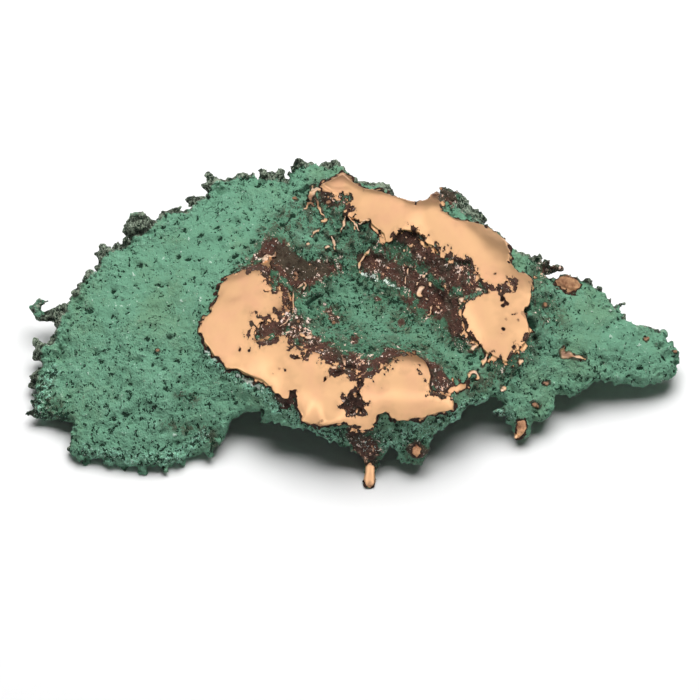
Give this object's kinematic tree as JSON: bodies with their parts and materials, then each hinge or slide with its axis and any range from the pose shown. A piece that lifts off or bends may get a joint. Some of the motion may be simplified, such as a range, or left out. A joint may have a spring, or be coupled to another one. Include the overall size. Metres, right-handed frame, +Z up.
{
  "type": "native copper nugget",
  "caption": "Flattened, ragged native copper specimen with green patina and smooth copper plates round a central dent; lies on a surface as a display piece.",
  "frame": {"origin": "on the table, under the middle of the nugget's box", "axes": "+X along the nugget, from the broad lobe to the narrow tail; -Y to the front edge with the drips; +Z up"},
  "size_m": [0.1962, 0.1123, 0.0283],
  "materials": {
    "patinated_copper": "rough green patina, with smooth bright copper plates and dark maroon oxide between them"
  },
  "bodies": {
    "root": {"copper_nugget": "patinated_copper"}
  },
  "joints": []
}
